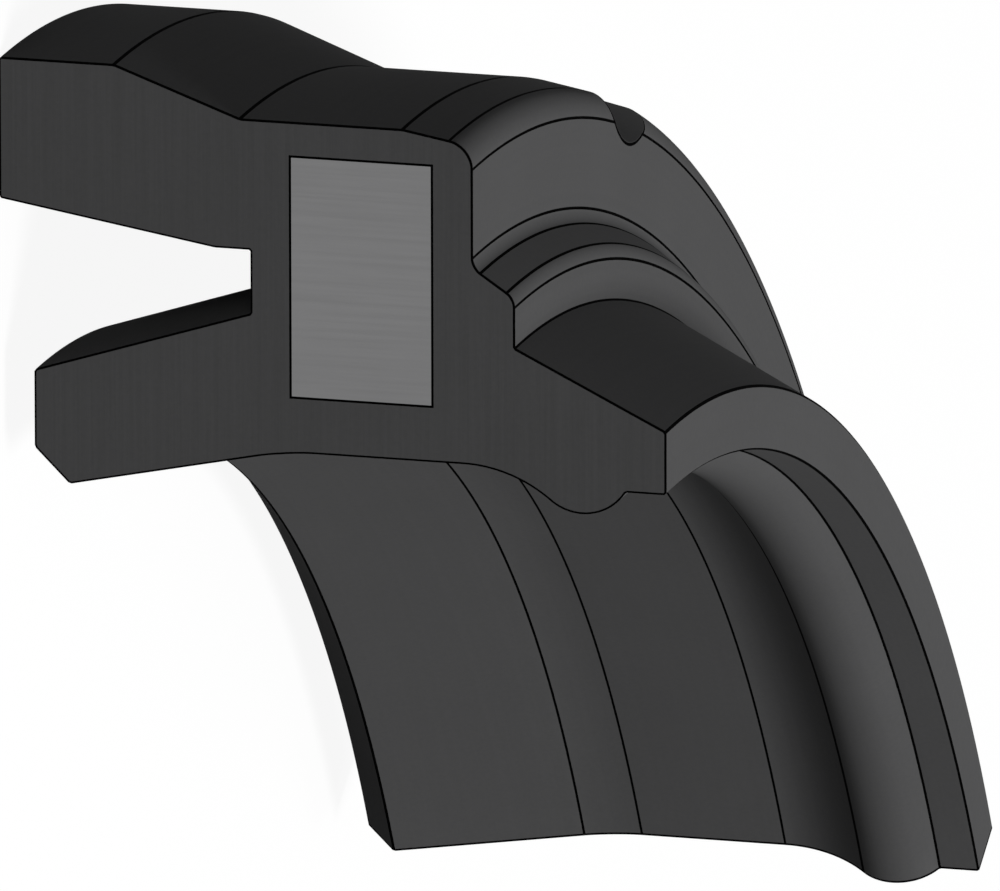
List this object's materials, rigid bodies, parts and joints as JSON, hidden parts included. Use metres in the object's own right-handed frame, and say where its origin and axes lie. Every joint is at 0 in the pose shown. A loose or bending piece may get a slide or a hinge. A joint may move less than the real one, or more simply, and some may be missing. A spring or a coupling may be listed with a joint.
{
  "type": "pneumatic rod seal segment",
  "caption": "Lip seal and dust wiper moulded in one round a flat metal ring, cut as a sixty-degree sample; seals and wipes a pneumatic cylinder's rod.",
  "frame": {"origin": "below the middle of the bounding box, on the plane of the outer lip's end face", "axes": "+Z along the seal's axis, from the sealing lips to the wiper; +X outwards along the radius through the middle of the sample; +Y towards the front cut face"},
  "size_m": [0.0086, 0.0256, 0.0095],
  "materials": {
    "seal_rubber": "moulded, satin; cut faces finely sawn",
    "ring_steel": "stamped flat ring, seen only at the cut faces"
  },
  "bodies": {
    "root": {"seal_body": "seal_rubber", "support_ring": "ring_steel"}
  },
  "joints": []
}
